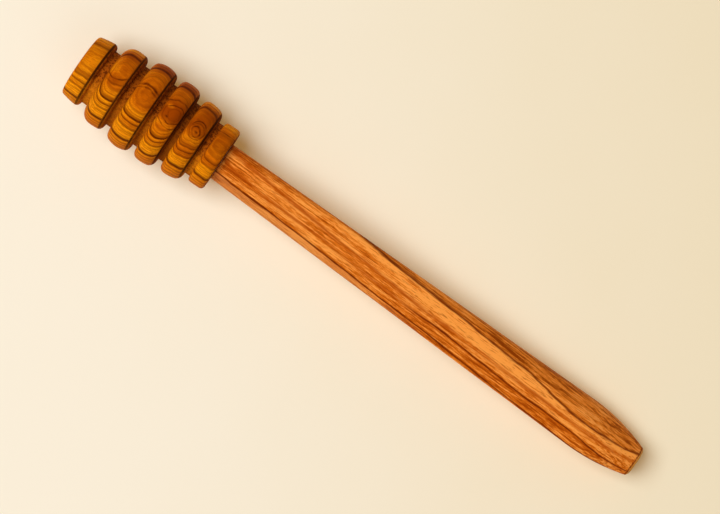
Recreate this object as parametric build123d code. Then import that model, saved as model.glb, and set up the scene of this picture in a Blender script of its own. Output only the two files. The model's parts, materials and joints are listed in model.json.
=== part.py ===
from build123d import *
import math
import os

# Honey dipper, lying on a table. A grooved head is turned from one timber and a handle is planed
# from another. A fluted dowel and wood glue join them, a little out of line, as hand work is.
# Lengths are in millimetres and angles in degrees. +X runs from the head to the butt and +Z is up.

# Head: six lobes of different size on one axis, with parted grooves between them
head_radius = 12.0
widest_lobe_width = 6.6
widest_groove_width = 1.8
groove_depth = 2.7
groove_corner_share = 0.22  # of the groove's width or of its lower wall, whichever is less

# Each row is one lobe, from the tip to the handle, and its shares are of the sizes named beside them
lobe_radius_shares = (0.747, 0.917, 1.0, 0.967, 0.883, 0.733)  # of head_radius, at the rim's middle
lobe_width_shares = (0.811, 0.947, 1.0, 0.874, 0.894, 0.682)  # of widest_lobe_width
rim_front_fall_shares = (0.11, 0.07, 0.16, 0.07, 0.01, 0.01)  # of the lobe's own width
rim_back_fall_shares = (-0.04, 0.045, 0.14, 0.12, 0.13, 0.02)  # of the lobe's own width
rim_front_round_shares = (0.09, 1.0, 0.75, 0.71, 0.79, 0.78)  # of the wall below that corner
rim_back_round_shares = (0.72, 0.68, 0.76, 0.79, 0.96, 0.115)  # of the wall below that corner
groove_width_shares = (1.0, 0.99, 0.817, 0.883, 0.833)  # of widest_groove_width
groove_depth_shares = (0.86, 1.0, 1.0, 0.96, 0.763)  # of groove_depth, below its two lobes

# Handle: an eight-sided stick that swells towards the butt, where a bullet nose ends it
handle_length = 128.2
handle_width_at_head = 10.1
handle_width_at_belly = 13.4
handle_thickness_at_head = 9.8
handle_thickness_at_belly = 13.1
butt_width = 7.9
butt_thickness = 7.6
butt_side_shift = 0.2
nose_length = 17.2
butt_edge_break = 0.5

# Stations along the handle: shares of the shank up to the belly, then shares of the nose
shank_station_shares = (0.0, 0.18, 0.31, 0.42, 0.54, 0.66, 0.78, 0.89, 1.0)
nose_station_shares = (0.2, 0.4, 0.58, 0.74, 0.88, 1.0)

# How much of each corner is planed off at every station, as shares of the stick's lesser size there
bevel_shares = {
    "top_right": (0.18, 0.11, 0.07, 0.10, 0.16, 0.19, 0.27, 0.34, 0.40,
                  0.42, 0.43, 0.42, 0.38, 0.32, 0.26),
    "top_left": (0.21, 0.18, 0.15, 0.13, 0.11, 0.09, 0.08, 0.07, 0.07,
                 0.08, 0.10, 0.12, 0.14, 0.14, 0.13),
    "bottom_left": (0.18, 0.16, 0.15, 0.14, 0.14, 0.15, 0.17, 0.20, 0.22,
                    0.24, 0.25, 0.26, 0.25, 0.23, 0.20),
    "bottom_right": (0.19, 0.16, 0.14, 0.13, 0.13, 0.14, 0.16, 0.18, 0.20,
                     0.22, 0.24, 0.25, 0.24, 0.22, 0.19),
}
arris_round_share = 1.1  # of the bevel that the arris borders

# Joint: a standard fluted dowel, glued in two blind bores
dowel_diameter = 6.0
dowel_length = 30.0
dowel_chamfer = 0.6
flute_count = 16
flute_depth = 0.25
flute_radius = 0.4
glue_thickness = 0.1
glue_setback = 0.3
bore_end_room = 1.5
joint_skew = 1.5

# Cuts run past the faces that they open by this much
overrun = 3.0


def lobe_rows():
    """Each lobe's start, width and three rim radii, with x = 0 at the tip face."""
    rows = []
    start = 0.0
    for index, width_share in enumerate(lobe_width_shares):
        width = widest_lobe_width * width_share
        middle = head_radius * lobe_radius_shares[index]
        rows.append({
            "start": start,
            "width": width,
            "front": middle - width * rim_front_fall_shares[index],
            "middle": middle,
            "back": middle - width * rim_back_fall_shares[index],
        })
        start += width
        if index < len(groove_width_shares):
            start += widest_groove_width * groove_width_shares[index]
    return rows


def groove_floors(rows):
    """Each groove's floor radius, cut in from the mean of the two lobes beside it."""
    floors = []
    for index, depth_share in enumerate(groove_depth_shares):
        envelope = (rows[index]["middle"] + rows[index + 1]["middle"]) / 2
        floors.append(envelope - groove_depth * depth_share)
    return floors


lobes = lobe_rows()
floors = groove_floors(lobes)
head_length = lobes[-1]["start"] + lobes[-1]["width"]


def rim_rounds(index):
    """The rounding of a lobe's front and back corner, from the walls that drop below them."""
    below_front = floors[index - 1] if index > 0 else 0.0
    below_back = floors[index] if index < len(floors) else 0.0
    front_round = (lobes[index]["front"] - below_front) * rim_front_round_shares[index]
    back_round = (lobes[index]["back"] - below_back) * rim_back_round_shares[index]
    return front_round, back_round


def groove_corner(index):
    """The radius in both corners of a groove's floor."""
    before, after = lobes[index], lobes[index + 1]
    width = after["start"] - before["start"] - before["width"]
    return groove_corner_share * min(width, before["back"] - floors[index], after["front"] - floors[index])


def head_half_section():
    """The head's half section above its axis, with the tip face at -head_length and the back at 0."""
    shift = -head_length
    edges = []
    corners = []
    here = (shift, 0.0)
    for index, lobe in enumerate(lobes):
        x_front = shift + lobe["start"]
        x_back = x_front + lobe["width"]
        x_middle = (x_front + x_back) / 2
        front = (x_front, lobe["front"])
        back = (x_back, lobe["back"])
        edges.append(Line(here, front))
        edges.append(ThreePointArc(front, (x_middle, lobe["middle"]), back))
        front_round, back_round = rim_rounds(index)
        corners.append((front, front_round))
        corners.append((back, back_round))
        here = back
        if index < len(floors):
            x_next = shift + lobes[index + 1]["start"]
            floor_front = (x_back, floors[index])
            floor_back = (x_next, floors[index])
            edges.append(Line(back, floor_front))
            edges.append(Line(floor_front, floor_back))
            corners.append((floor_front, groove_corner(index)))
            corners.append((floor_back, groove_corner(index)))
            here = floor_back
    edges.append(Line(here, (0.0, 0.0)))
    edges.append(Line((0.0, 0.0), (shift, 0.0)))
    section = make_face(edges)
    for (x, radius), rounding in corners:
        corner = section.vertices().sort_by_distance(Vector(x, radius, 0))[0]
        section = fillet(corner, rounding)
    return section


def handle_stations():
    """Every station's x, middle y, half width and half thickness, with x = 0 at the joint."""
    shank = handle_length - nose_length
    rows = []
    for share in shank_station_shares:
        width = handle_width_at_head + (handle_width_at_belly - handle_width_at_head) * share
        thickness = handle_thickness_at_head + (handle_thickness_at_belly - handle_thickness_at_head) * share
        rows.append((shank * share, 0.0, width / 2, thickness / 2))
    for share in nose_station_shares:
        reach = nose_length * share
        half_width = nose_half_size(reach, handle_width_at_belly, butt_width)
        half_thickness = nose_half_size(reach, handle_thickness_at_belly, butt_thickness)
        rows.append((shank + reach, -butt_side_shift * share ** 2, half_width, half_thickness))
    return rows


def nose_radius(belly_size, butt_size):
    """Radius of the arc that leaves the belly level and ends at the butt."""
    fall = (belly_size - butt_size) / 2
    return (nose_length ** 2 + fall ** 2) / (2 * fall)


def nose_half_size(reach, belly_size, butt_size):
    """Half the handle's size at a distance behind the belly, on the nose's arc."""
    radius = nose_radius(belly_size, butt_size)
    return belly_size / 2 - (radius - math.sqrt(radius ** 2 - reach ** 2))


def stick_section(index, x, y, half_width, half_thickness):
    """One eight-sided section of the stick, square to X, beveled as at that station and rounded."""
    lesser_size = 2 * min(half_width, half_thickness)
    bevels = [lesser_size * shares[index] for shares in bevel_shares.values()]
    right_top, left_top, left_bottom, right_bottom = bevels
    outline = (
        (half_width, half_thickness - right_top),
        (half_width - right_top, half_thickness),
        (-half_width + left_top, half_thickness),
        (-half_width, half_thickness - left_top),
        (-half_width, -half_thickness + left_bottom),
        (-half_width + left_bottom, -half_thickness),
        (half_width - right_bottom, -half_thickness),
        (half_width, -half_thickness + right_bottom),
    )
    radii = [bevel * arris_round_share for bevel in bevels for _ in range(2)]
    plane = Plane(origin=(x, y, 0), x_dir=(0, 1, 0), z_dir=(1, 0, 0))
    return plane * make_face(FilletPolyline(*outline, radius=radii, close=True))


def handle_sections():
    """All sections of the stick, with one more ahead of the joint for the trim to cut off."""
    stations = handle_stations()
    ahead = (-overrun, *stations[0][1:])
    sections = [stick_section(0, *ahead)]
    for index, station in enumerate(stations):
        sections.append(stick_section(index, *station))
    return sections


def rod(radius, start, end):
    """A round rod along X from start to end."""
    return Plane.YZ.offset(start) * extrude(Circle(radius), end - start)


dowel_radius = dowel_diameter / 2
bore_radius = dowel_radius + glue_thickness
bore_depth = dowel_length / 2 + bore_end_room

# The head's axis is turned about the middle of the joint, and the bores and the dowel share it
head_frame = Rot(0, 0, joint_skew)
joint_middle = glue_thickness / 2


def make_head():
    """The grooved head, with a blind bore in its back face."""
    turned = revolve(head_half_section(), axis=Axis.X)
    bored = turned - rod(bore_radius, joint_middle - bore_depth, overrun)
    return head_frame * bored


def make_handle():
    """The planed handle: trimmed square to the head's axis, bored along it, its butt edge broken."""
    stick = loft(handle_sections())
    butt_face = stick.faces().sort_by(Axis.X)[-1]
    stick = chamfer(butt_face.edges(), butt_edge_break)
    waste = rod(head_radius, -2 * overrun, glue_thickness)
    bore = rod(bore_radius, -2 * overrun, joint_middle + bore_depth)
    return stick - head_frame * waste - head_frame * bore


def straight_dowel():
    """The fluted dowel on the X axis, centred on the joint."""
    half = dowel_length / 2
    pin = rod(dowel_radius, joint_middle - half, joint_middle + half)
    pin = chamfer(pin.edges().filter_by(GeomType.CIRCLE), dowel_chamfer)
    ring = dowel_radius - flute_depth + flute_radius
    for place in PolarLocations(ring, flute_count):
        flute = rod(flute_radius, joint_middle - half - overrun, joint_middle + half + overrun)
        pin -= Location((0, place.position.X, place.position.Y)) * flute
    return pin


def make_joint_dowel():
    return head_frame * straight_dowel()


def make_glue_film():
    """Set glue: a sleeve that fills the bores round the dowel, and a film between the end faces."""
    reach = dowel_length / 2 - dowel_chamfer
    sleeve = rod(bore_radius, joint_middle - reach, joint_middle + reach)
    half_width = handle_width_at_head / 2 - glue_setback
    half_thickness = handle_thickness_at_head / 2 - glue_setback
    shoulder = extrude(stick_section(0, 0.0, 0.0, half_width, half_thickness), glue_thickness)
    return head_frame * (sleeve + shoulder - straight_dowel())


def lie_angle():
    """How far the handle dips when the widest lobe and the belly's underside both touch the table."""
    widest = max(lobes, key=lambda lobe: lobe["middle"])
    half_chord = widest["width"] / 2
    rise = widest["middle"] - (widest["front"] + widest["back"]) / 2
    crown = (half_chord ** 2 + rise ** 2) / (2 * rise)
    lobe_centre = (widest["start"] + half_chord - head_length, crown - widest["middle"])
    nose = nose_radius(handle_thickness_at_belly, butt_thickness)
    nose_centre = (handle_length - nose_length, nose - handle_thickness_at_belly / 2)
    across = nose_centre[0] - lobe_centre[0]
    up = nose_centre[1] - lobe_centre[1]
    slope = math.atan2(up, across)
    return math.degrees(slope + math.asin((crown - nose) / math.hypot(across, up)))


def lay_down(pieces):
    """Lay the joined pieces on the table, with the origin under the middle of their box."""
    dip = Rot(0, lie_angle(), 0)
    laid = {name: dip * piece for name, piece in pieces.items()}
    boxes = [piece.bounding_box() for piece in laid.values()]
    middle_x = (min(box.min.X for box in boxes) + max(box.max.X for box in boxes)) / 2
    middle_y = (min(box.min.Y for box in boxes) + max(box.max.Y for box in boxes)) / 2
    lowest = min(box.min.Z for box in boxes)
    return {name: Pos(-middle_x, -middle_y, -lowest) * piece for name, piece in laid.items()}


dipper = lay_down({
    "head": make_head(),
    "handle": make_handle(),
    "joint_dowel": make_joint_dowel(),
    "glue_film": make_glue_film(),
})

os.makedirs("parts", exist_ok=True)
for name, piece in dipper.items():
    export_step(piece, f"parts/{name}.step")
    size = piece.bounding_box().size
    print(f"{name}: {size.X:.2f} x {size.Y:.2f} x {size.Z:.2f} mm, {piece.volume:.1f} mm3")
print(f"head length {head_length:.2f} mm, lie angle {lie_angle():.2f} degrees")
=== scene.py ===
# %% [markdown]
# # A honey dipper in two timbers
#
# This notebook dresses a honey dipper that is already built to size as a solid model. The real one
# is a grooved head, turned on a lathe from a golden, close-ringed timber, and a handle that somebody
# planed from an orange-brown one. A dowel and glue, out of sight, hold the two together.
#
# The solid model comes in first and is a fixed frame: it says where each piece is, and nothing here
# moves it, and the box round it is kept.

import json
import math

import bmesh
import bpy
from mathutils import Matrix, Vector, noise


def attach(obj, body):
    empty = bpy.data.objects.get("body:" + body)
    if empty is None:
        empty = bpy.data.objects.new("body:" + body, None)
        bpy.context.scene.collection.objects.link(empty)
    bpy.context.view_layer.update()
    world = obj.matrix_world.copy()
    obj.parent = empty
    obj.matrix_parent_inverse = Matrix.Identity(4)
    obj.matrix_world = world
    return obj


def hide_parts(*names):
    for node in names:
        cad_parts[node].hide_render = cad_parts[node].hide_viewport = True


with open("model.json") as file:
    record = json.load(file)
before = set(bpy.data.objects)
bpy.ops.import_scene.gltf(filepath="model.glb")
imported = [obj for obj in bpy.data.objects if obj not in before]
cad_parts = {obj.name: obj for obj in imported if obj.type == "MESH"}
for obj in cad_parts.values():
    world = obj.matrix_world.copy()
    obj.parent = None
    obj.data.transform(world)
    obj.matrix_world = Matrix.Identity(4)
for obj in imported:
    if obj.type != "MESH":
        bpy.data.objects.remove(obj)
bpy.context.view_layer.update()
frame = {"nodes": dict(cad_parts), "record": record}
scene = bpy.context.scene
mm = 0.001
print("pieces:", sorted(frame["nodes"]))

# %% [markdown]
# ## Where the two timbers lie
#
# The dipper lies on its widest lobe and on the underside of the handle, so both timbers slope, and
# the head is a degree and a half out of line with the handle. The record gives the middle of each
# flat end and the way that end faces, which is all that is needed to place a set of axes in each
# timber: x along the grain, z as near to upright as the slope allows.


# %% Axes for the head and for the handle
def timber_axes(origin, along):
    """A matrix that takes a timber's own axes to the world: x along it, z most nearly up."""
    x_axis = Vector(along).normalized()
    z_axis = (Vector((0, 0, 1)) - x_axis * x_axis.z).normalized()
    y_axis = z_axis.cross(x_axis)
    turn = Matrix((x_axis, y_axis, z_axis)).transposed().to_4x4()
    return Matrix.Translation(origin) @ turn


head_length = 42.51 * mm
mounts = {mount["name"]: mount for mount in frame["record"]["mounts"]}
tip_at = Vector(mounts["tip_face"]["pos_m"])
head_along = -Vector(mounts["tip_face"]["axis"])
handle_along = Vector(mounts["butt_face"]["axis"])
joint_at = tip_at + head_along * head_length
head_axes = timber_axes(tip_at, head_along)
handle_axes = timber_axes(joint_at, handle_along)
joint_skew = head_along.angle(handle_along)
print(f"the head is {math.degrees(joint_skew):.2f} degrees out of line with the handle")

# %% [markdown]
# ## The camera
#
# The photograph looks straight down at the table, from far enough away for the sides of the lobes
# to show only a little. A long lens on a camera 0.7 m up gives the same view. The camera is turned
# about the vertical, because in the picture the dipper lies on a slant.


# %% Camera
def put_in_scene(name, data):
    """Make an object of a mesh, a lamp or a camera, and link it to the scene."""
    made = bpy.data.objects.new(name, data)
    scene.collection.objects.link(made)
    return made


picture_width = 720
sensor_width = 36.0
camera_height = 0.708
camera_turn = math.radians(35.98)
camera_over = (-0.75 * mm, 1.56 * mm)
pixels_at_one_metre = 2793.0

camera_data = bpy.data.cameras.new("camera")
camera_data.sensor_width = sensor_width
camera_data.lens = pixels_at_one_metre * sensor_width / picture_width
camera = put_in_scene("camera", camera_data)
camera.location = (*camera_over, camera_height)
camera.rotation_euler = (0, 0, camera_turn)
scene.camera = camera
print(f"lens {camera_data.lens:.0f} mm")

# %% [markdown]
# ## Sums in node trees
#
# Every material and shape rule below is a node tree. A sum in a tree takes one Math node for each
# step, which is hard to follow when every node is written out. So what comes out of a node is
# wrapped as a Reading here, and readings can be added, subtracted, multiplied and divided like
# numbers. Each such step adds the Math node that does it.


# %% Readings, nodes and sums
class Reading:
    """What a node gives out. A sum on it, such as 1 - reading * 2, adds Math nodes to its tree."""

    def __init__(self, tree, socket):
        self.tree = tree
        self.socket = socket

    def __add__(self, other):
        return calc("ADD", self, other)

    def __sub__(self, other):
        return calc("SUBTRACT", self, other)

    def __rsub__(self, other):
        return calc("SUBTRACT", other, self)

    def __mul__(self, other):
        return calc("MULTIPLY", self, other)

    def __truediv__(self, other):
        return calc("DIVIDE", self, other)


def add(tree, kind, inputs=None, **settings):
    """Add a node. An input is given a value, or the reading that feeds it."""
    node = tree.nodes.new(kind)
    for name, value in settings.items():
        setattr(node, name, value)
    for name, value in (inputs or {}).items():
        if isinstance(value, Reading):
            tree.links.new(value.socket, node.inputs[name])
        else:
            node.inputs[name].default_value = value
    return node


def read(tree, kind, inputs=None, output=0, **settings):
    """Add a node and give back a reading of one of its outputs."""
    return Reading(tree, add(tree, kind, inputs, **settings).outputs[output])


def calc(operation, *values, clamp=False):
    """One sum on readings and numbers, such as calc("MAXIMUM", reading, 2.0)."""
    tree = next(value.tree for value in values if isinstance(value, Reading))
    inputs = dict(enumerate(values))
    return read(tree, "ShaderNodeMath", inputs, operation=operation, use_clamp=clamp)


def most(first, *others):
    """The greatest of several readings."""
    for other in others:
        first = calc("MAXIMUM", first, other)
    return first


def split(vector):
    """The three parts of a vector."""
    parts = add(vector.tree, "ShaderNodeSeparateXYZ", {0: vector})
    return [Reading(vector.tree, part) for part in parts.outputs]


# %% [markdown]
# ## The head: a half section on the lathe
#
# A turner cuts one outline and the lathe makes it round. The same idea works here: the outline is
# drawn once as a chain of points, from the middle of the tip face over six lobes and five grooves
# to the back face and into the dowel's bore. Each rim is an arc, and each corner is a rounding that
# is tangent to it, so the outline has many points on its bends and few on its straights.
#
# A table holds what differs from lobe to lobe. Its rows are shares of the sizes named above it.

# %% Sizes of the head
head_radius = 12.0 * mm
widest_lobe_width = 6.6 * mm
widest_groove_width = 1.8 * mm
groove_depth = 2.7 * mm
groove_corner_share = 0.22
bore_radius = 3.1 * mm
bore_depth = 16.5 * mm

lobe_radius_shares = (0.747, 0.917, 1.0, 0.967, 0.883, 0.733)
lobe_width_shares = (0.811, 0.947, 1.0, 0.874, 0.894, 0.682)
rim_front_fall_shares = (0.11, 0.07, 0.16, 0.07, 0.01, 0.01)
rim_back_fall_shares = (-0.04, 0.045, 0.14, 0.12, 0.13, 0.02)
rim_front_round_shares = (0.09, 1.0, 0.75, 0.71, 0.79, 0.78)
rim_back_round_shares = (0.72, 0.68, 0.76, 0.79, 0.96, 0.115)
groove_width_shares = (1.0, 0.99, 0.817, 0.883, 0.833)
groove_depth_shares = (0.86, 1.0, 1.0, 0.96, 0.763)
# How far down each rear rounding the sandpaper reached, and how far the scorched strip goes on
sanded_over_shares = (0.0, 0.05, 0.0, 0.42, 0.33, 0.7)
scorched_share = 0.38
# Soot on the strip, painted shade over the rear half of the rims, and soot on each rear wall and
# on each groove's floor and far wall
strip_soot = 0.9
painted_rim_shade = 0.22
wall_soot = (0.12, 0.22, 0.14, 0.48, 0.16, 0.12)
floor_soot = (0.0, 0.14, 0.10, 0.40, 0.0)
print(len(lobe_width_shares), "lobes and", len(groove_width_shares), "grooves")


# %% Lobes and grooves in a row
def lobe_rows():
    """Each lobe's start, end and three rim radii, with x = 0 at the tip."""
    rows = []
    start = 0.0
    for index, width_share in enumerate(lobe_width_shares):
        width = widest_lobe_width * width_share
        middle = head_radius * lobe_radius_shares[index]
        rows.append({
            "start": start,
            "end": start + width,
            "front": middle - width * rim_front_fall_shares[index],
            "middle": middle,
            "back": middle - width * rim_back_fall_shares[index],
        })
        start += width
        if index < len(groove_width_shares):
            start += widest_groove_width * groove_width_shares[index]
    return rows


lobes = lobe_rows()
floors = [
    (lobes[i]["middle"] + lobes[i + 1]["middle"]) / 2 - groove_depth * share
    for i, share in enumerate(groove_depth_shares)
]
for i, lobe in enumerate(lobes):
    below_front = floors[i - 1] if i > 0 else 0.0
    below_back = floors[i] if i < len(floors) else 0.0
    lobe["front_round"] = (lobe["front"] - below_front) * rim_front_round_shares[i]
    lobe["back_round"] = (lobe["back"] - below_back) * rim_back_round_shares[i]
    lobe["sanded_over"] = sanded_over_shares[i]
    lobe["wall_soot"] = wall_soot[i]
print(f"{lobes[-1]['end'] / mm:.2f} mm long, floors", [round(floor / mm, 2) for floor in floors])


# %% Arcs of the outline
def arc(centre, radius, start, end, steps):
    """Points on an arc in the plane of x and radius, with angles in radians from the x axis."""
    angles = (start + (end - start) * i / steps for i in range(steps + 1))
    return [(centre[0] + radius * math.cos(a), centre[1] + radius * math.sin(a)) for a in angles]


def circle_through(a, b, c):
    """Centre and radius of the circle through three points."""
    d = 2 * (a[0] * (b[1] - c[1]) + b[0] * (c[1] - a[1]) + c[0] * (a[1] - b[1]))
    squares = [p[0] ** 2 + p[1] ** 2 for p in (a, b, c)]
    x = (squares[0] * (b[1] - c[1]) + squares[1] * (c[1] - a[1]) + squares[2] * (a[1] - b[1])) / d
    y = (squares[0] * (c[0] - b[0]) + squares[1] * (a[0] - c[0]) + squares[2] * (b[0] - a[0])) / d
    return (x, y), math.hypot(a[0] - x, a[1] - y)


def rim(lobe):
    """The lobe's outline from wall to wall: a rounding, the crowned rim and a rounding.

    Two more values of a point mark bare, unsanded wood, and soot with painted shade. The bare wood
    begins a little way down the rear rounding, with a scorched strip. Painted shade spreads forwards
    over the rear half of the rim.
    """
    middle_x = (lobe["start"] + lobe["end"]) / 2
    front = (lobe["start"], lobe["front"])
    back = (lobe["end"], lobe["back"])
    centre, radius = circle_through(front, (middle_x, lobe["middle"]), back)
    corner_steps, crown_steps = 9, 9
    points = []
    tangent_angles = []
    ends = ((front[0], lobe["front_round"], 1), (back[0], lobe["back_round"], -1))
    for x_wall, rounding, side in ends:
        x = x_wall + side * rounding
        y = centre[1] + math.sqrt((radius - rounding) ** 2 - (x - centre[0]) ** 2)
        touch = math.atan2(y - centre[1], x - centre[0])
        wall_angle = math.pi if side > 0 else 0.0
        bend = arc((x, y), rounding, wall_angle, touch, corner_steps)
        points.append(bend if side > 0 else bend[::-1])
        tangent_angles.append(touch)
    crown = arc(centre, radius, *tangent_angles, crown_steps)[1:-1]
    sanded = [(x, r, 0.0, 0.0) for x, r in points[0]]
    # Painted shade: over the rear half of the crown the rim darkens towards the rear rounding
    for i, (x, r) in enumerate(crown):
        sanded.append((x, r, 0.0, painted_rim_shade * max(2 * i / len(crown) - 1, 0.0) ** 1.5))
    rear = []
    for i, (x, r) in enumerate(points[1]):
        share = i / corner_steps - lobe["sanded_over"]
        bare = min(max(share * corner_steps, 0.0), 1.0)
        soot_and_shade = max(strip_soot * bare, painted_rim_shade) if share < scorched_share else lobe["wall_soot"]
        rear.append((x, r, bare, soot_and_shade))
    return sanded + rear


print(len(rim(lobes[0])), "points over the first lobe")


# %% The whole half section
def wall(x, low, high, steps):
    """Points up a flat face at x, ends left out."""
    return [(x, low + (high - low) * i / steps) for i in range(1, steps)]


def head_outline():
    """The half section as points of x, radius, bareness, and soot with painted shade."""
    face_steps, wall_steps, floor_steps, bend_steps = 12, 4, 4, 5
    quarter = 0.5 * math.pi
    plain = (0.0, 0.0)
    first = rim(lobes[0])
    outline = [(0.0, 0.0, *plain)]
    outline += [(*point, *plain) for point in wall(0.0, 0.0, first[0][1], face_steps)]
    for index, lobe in enumerate(lobes):
        points = rim(lobe)
        behind = (1.0, lobe["wall_soot"])
        outline += points
        if index == len(floors):
            break
        floor, following = floors[index], rim(lobes[index + 1])
        start, end = lobe["end"], lobes[index + 1]["start"]
        bend = groove_corner_share * min(end - start, lobe["back"] - floor,
                                         lobes[index + 1]["front"] - floor)
        lower, cut = floor + bend, (1.0, floor_soot[index])
        flat = end - start - 2 * bend
        rear_corner = arc((start + bend, lower), bend, 2 * quarter, 3 * quarter, bend_steps)
        front_corner = arc((end - bend, lower), bend, 3 * quarter, 4 * quarter, bend_steps)
        outline += [(*point, *behind) for point in wall(start, points[-1][1], lower, wall_steps)]
        outline += [(*point, *behind) for point in rear_corner]
        outline += [(start + bend + flat * i / floor_steps, floor, *cut) for i in range(1, floor_steps)]
        outline += [(*point, *cut) for point in front_corner]
        outline += [(*point, *cut) for point in wall(end, lower, following[0][1], wall_steps)]
    length = lobes[-1]["end"]
    outline += [(*point, *behind) for point in wall(length, outline[-1][1], bore_radius, face_steps)]
    outline += [(length, bore_radius, *behind), (length - bore_depth, bore_radius, *behind)]
    outline.append((length - bore_depth, 0.0, *behind))
    return outline


outline = head_outline()
print(len(outline), "points in the half section")

# %% [markdown]
# ## The lathe as a geometry tree
#
# Geometry Nodes can do what the lathe does. The tree starts from a flat grid with one row for each
# point of the half section and one column for each facet round the head. It reads the half section
# by row number and swings each column round by its own share of a turn. Because the tree is a rule,
# it can also be a little out of true, as wood is that has dried since it was turned: a slow noise
# takes up to a tenth of a millimetre off the radius, and a fine one across the head leaves the
# faint rings that the gouge leaves. Both only ever take wood away, so the head stays inside its box.
#
# Two marks ride along as attributes, for the finish to read later. The rims were sanded and oiled,
# while the grooves and the rear shoulders are bare wood, as the parting tool left them. Where the
# tool rubbed, at the edge of each rear shoulder, a thin strip is scorched nearly black. The second
# mark also carries painted shade, which darkens the rear half of each rim.

# %% Build the lathe tree
lathe_sockets = {
    "Half section": "NodeSocketGeometry",
    "Facets": "NodeSocketInt",
    "Out of round": "NodeSocketFloat",
    "Gouge rings": "NodeSocketFloat",
    "Timber": "NodeSocketMaterial",
}
# How often a metre the slow and the fine unevenness change, and how little the fine one changes
# round the head
slow_change = 40.0
fine_change = 1600.0
fine_change_round = 0.4
clear_of_bore = 1.01
merge_distance = 0.001 * mm


def lathe_tree():
    """A node group that spins a half section, marks and all, into a closed head."""
    tree = bpy.data.node_groups.new("lathe", "GeometryNodeTree")
    for name, kind in lathe_sockets.items():
        tree.interface.new_socket(name, in_out="INPUT", socket_type=kind)
    tree.interface.new_socket("Turned", in_out="OUTPUT", socket_type="NodeSocketGeometry")
    given = add(tree, "NodeGroupInput").outputs
    section, facets, out_of_round, gouge_rings, timber = (
        Reading(tree, given[name]) for name in lathe_sockets)

    def joined(*values):
        return read(tree, "ShaderNodeCombineXYZ", dict(enumerate(values)))

    rows = read(tree, "GeometryNodeAttributeDomainSize", {"Geometry": section}, "Point Count",
                component="MESH")
    columns = facets + 1.0
    grid = read(tree, "GeometryNodeMeshGrid", {"Vertices X": rows, "Vertices Y": columns}, "Mesh")
    number = read(tree, "GeometryNodeInputIndex")
    row = calc("FLOOR", (number + 0.5) / columns)
    turn = (number - row * columns) / facets * (2 * math.pi)
    cosine, sine = calc("COSINE", turn), calc("SINE", turn)

    def from_section(value, kind):
        inputs = {"Geometry": section, "Value": value, "Index": row}
        return read(tree, "GeometryNodeSampleIndex", inputs, data_type=kind)

    x, r, _ = split(from_section(read(tree, "GeometryNodeInputPosition"), "FLOAT_VECTOR"))
    slow_place = joined(x * slow_change, cosine, sine)
    slow = read(tree, "ShaderNodeTexNoise", {"Vector": slow_place, "Scale": 0.9, "Detail": 1.0})
    fine_place = joined(x * fine_change, r * fine_change, cosine * fine_change_round)
    fine = read(tree, "ShaderNodeTexNoise", {"Vector": fine_place, "Scale": 1.0, "Detail": 2.0})
    outer = calc("GREATER_THAN", r, bore_radius * clear_of_bore)
    radius = r - (slow * out_of_round + fine * gouge_rings) * outer
    spun = joined(x, radius * cosine, radius * sine)
    shape = read(tree, "GeometryNodeSetPosition", {"Geometry": grid, "Position": spun})

    for mark in ("bare", "soot_and_shade"):
        drawn = read(tree, "GeometryNodeInputNamedAttribute", {"Name": mark}, data_type="FLOAT")
        inputs = {"Geometry": shape, "Name": mark, "Value": from_section(drawn, "FLOAT")}
        shape = read(tree, "GeometryNodeStoreNamedAttribute", inputs, data_type="FLOAT", domain="POINT")
    for kind, inputs in (
        ("GeometryNodeMergeByDistance", {"Distance": merge_distance}),
        ("GeometryNodeSetShadeSmooth", {}),
        ("GeometryNodeRealizeInstances", {}),
        ("GeometryNodeSetMaterial", {"Material": timber}),
    ):
        shape = read(tree, kind, {"Geometry": shape, **inputs})
    add(tree, "NodeGroupOutput", {"Turned": shape})
    return tree


lathe = lathe_tree()
print(len(lathe.nodes), "nodes in the lathe")

# %% [markdown]
# ## Running the lathe
#
# A modifier's inputs are set by their identifiers before the object is first evaluated. The result
# is then taken as a plain mesh, and the modifier's object is thrown away: the exported piece must
# be a mesh that stands by itself, at the origin, with its place in its vertices. A surface that was
# spun can come out inside out, so its faces are turned to point outwards.

# %% Turn a section into a plain mesh
lathe_settings = {"Facets": 288, "Out of round": 0.10 * mm, "Gouge rings": 0.03 * mm}


def outward(mesh):
    """Point every face of a closed mesh outwards."""
    work = bmesh.new()
    work.from_mesh(mesh)
    bmesh.ops.recalc_face_normals(work, faces=work.faces)
    if work.calc_volume(signed=True) < 0:
        bmesh.ops.reverse_faces(work, faces=work.faces)
    work.to_mesh(mesh)
    work.free()


def set_inputs(modifier, values):
    """Set a geometry modifier's inputs by the identifiers of the sockets with those names."""
    for item in modifier.node_group.interface.items_tree:
        if item.item_type == "SOCKET" and item.in_out == "INPUT" and item.name in values:
            modifier[item.identifier] = values[item.name]


def turn_head(timber):
    """The head as a plain mesh in its place, spun from the half section by the lathe."""
    section = bpy.data.meshes.new("half_section")
    chain = [(i, i + 1) for i in range(len(outline) - 1)]
    section.from_pydata([(x, r, 0) for x, r, _, _ in outline], chain, [])
    for place, mark in ((2, "bare"), (3, "soot_and_shade")):
        depth = section.attributes.new(mark, "FLOAT", "POINT")
        depth.data.foreach_set("value", [point[place] for point in outline])
    blank = put_in_scene("half_section", section)
    modifier = blank.modifiers.new("lathe", "NODES")
    modifier.node_group = lathe
    set_inputs(modifier, {**lathe_settings, "Timber": timber})
    evaluated = blank.evaluated_get(bpy.context.evaluated_depsgraph_get())
    mesh = bpy.data.meshes.new_from_object(evaluated)
    bpy.data.objects.remove(blank)
    mesh.transform(head_axes)
    mesh.name = "dipper_head"
    outward(mesh)
    return mesh


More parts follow.
